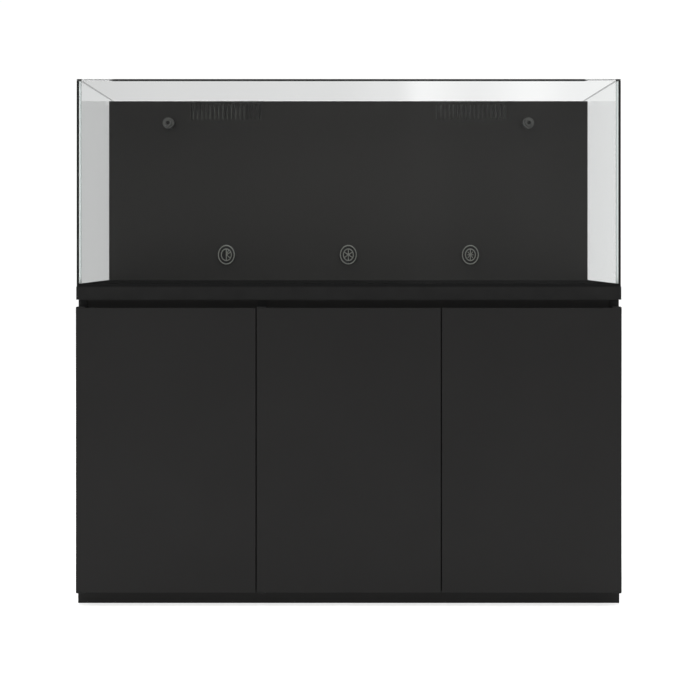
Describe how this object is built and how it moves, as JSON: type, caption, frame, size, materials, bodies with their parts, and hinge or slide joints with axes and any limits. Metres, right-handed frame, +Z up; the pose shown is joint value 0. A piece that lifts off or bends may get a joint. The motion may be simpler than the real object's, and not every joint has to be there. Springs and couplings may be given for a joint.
{
  "type": "aquarium on stand",
  "caption": "Rimless glass reef aquarium with a black rear weir, standing on a charcoal cabinet with hinged doors, finger-pull groove and a sump inside.",
  "frame": {"origin": "on the floor under the middle of the whole object", "axes": "+X to the right seen from the front, +Y towards the back, +Z up"},
  "size_m": [1.5, 0.62, 1.446],
  "materials": {
    "clear_glass": "clear, polished edges",
    "black_glass": "back-painted black, gloss",
    "black_film": "black vinyl film",
    "black_silicone": "satin bead",
    "black_acrylic": "gloss black sheet",
    "charcoal_board": "matt charcoal laminate on board",
    "back_board": "matt dark laminate",
    "black_trim": "matt black, fine grain",
    "rubber": "matt foam and rubber",
    "steel": "black oxide steel",
    "black_plastic": "satin moulded black",
    "pipe_plastic": "dark grey pressure pipe",
    "red_plastic": "satin moulded red",
    "felt": "needled felt"
  },
  "bodies": {
    "cabinet": {"front_glass": "clear_glass", "rear_glass": "clear_glass", "side_glass_left": "clear_glass", "side_glass_right": "clear_glass", "bottom_glass": "black_glass", "silicone_seams": "black_silicone", "weir_panel": "black_acrylic", "weir_dividers": "black_acrylic", "base_trim": "black_trim", "levelling_mat": "rubber", "top_board": "charcoal_board", "groove_frame": "black_trim", "top_rails": "charcoal_board", "side_panel_left": "charcoal_board", "side_panel_right": "charcoal_board", "partition": "charcoal_board", "door_posts": "charcoal_board", "cabinet_floor": "charcoal_board", "back_panel": "back_board", "plinth": "black_trim", "hinge_brackets": "steel", "catch_magnets": "black_plastic", "door_bumpers": "rubber", "return_flanges": "black_plastic", "panel_nuts": "black_plastic", "intake_flanges": "black_plastic", "intake_grilles": "black_plastic", "rear_film": "black_film", "bulkheads": "pipe_plastic", "bulkhead_gaskets": "rubber", "bulkhead_nuts": "pipe_plastic", "standpipes": "pipe_plastic", "strainer_caps": "black_plastic", "return_risers": "pipe_plastic", "drain_pipes": "pipe_plastic", "return_pipes": "pipe_plastic", "gate_valve": "black_plastic", "ball_valve": "black_plastic", "sump_bottom": "black_glass", "sump_walls": "clear_glass", "sump_baffles": "clear_glass", "sump_mat": "rubber", "sock_plate": "black_plastic", "filter_socks": "felt", "return_pump": "black_plastic"},
    "door_left": {"door_left": "charcoal_board", "hinge_leaves_left": "steel", "strike_plate_left": "steel"},
    "door_middle": {"door_middle": "charcoal_board", "hinge_leaves_middle": "steel", "strike_plate_middle": "steel"},
    "door_right": {"door_right": "charcoal_board", "hinge_leaves_right": "steel", "strike_plate_right": "steel"},
    "jet_ring_left": {"jet_ring_left": "black_plastic"},
    "jet_left": {"jet_left": "black_plastic"},
    "jet_ring_right": {"jet_ring_right": "black_plastic"},
    "jet_right": {"jet_right": "black_plastic"},
    "gate_wheel": {"gate_valve_wheel": "red_plastic"},
    "valve_handle": {"ball_valve_handle": "red_plastic"}
  },
  "joints": [
    {"name": "door_left_hinge", "type": "hinge", "parent": "cabinet", "child": "door_left", "pos_m": [-0.74225, -0.305, 0.4], "axis": [0, 0, -1], "range_deg": [0, 95]},
    {"name": "door_middle_hinge", "type": "hinge", "parent": "cabinet", "child": "door_middle", "pos_m": [-0.247, -0.305, 0.4], "axis": [0, 0, -1], "range_deg": [0, 95]},
    {"name": "door_right_hinge", "type": "hinge", "parent": "cabinet", "child": "door_right", "pos_m": [0.74225, -0.305, 0.4], "axis": [0, 0, 1], "range_deg": [0, 95]},
    {"name": "jet_ring_left_turn", "type": "hinge", "parent": "cabinet", "child": "jet_ring_left", "pos_m": [-0.552, 0.1751, 1.364], "axis": [0, -1, 0], "continuous": true},
    {"name": "jet_left_tilt", "type": "hinge", "parent": "jet_ring_left", "child": "jet_left", "pos_m": [-0.552, 0.1713, 1.364], "axis": [1, 0, 0], "range_deg": [-20, 20]},
    {"name": "jet_ring_right_turn", "type": "hinge", "parent": "cabinet", "child": "jet_ring_right", "pos_m": [0.552, 0.1751, 1.364], "axis": [0, -1, 0], "continuous": true},
    {"name": "jet_right_tilt", "type": "hinge", "parent": "jet_ring_right", "child": "jet_right", "pos_m": [0.552, 0.1713, 1.364], "axis": [1, 0, 0], "range_deg": [-20, 20]},
    {"name": "gate_wheel_turn", "type": "hinge", "parent": "cabinet", "child": "gate_wheel", "pos_m": [-0.44, 0.054, 0.54], "axis": [0, -1, 0], "range_deg": [0, 720]},
    {"name": "valve_handle_turn", "type": "hinge", "parent": "cabinet", "child": "valve_handle", "pos_m": [0.1, -0.011, 0.54], "axis": [0, -1, 0], "range_deg": [0, 90]}
  ]
}
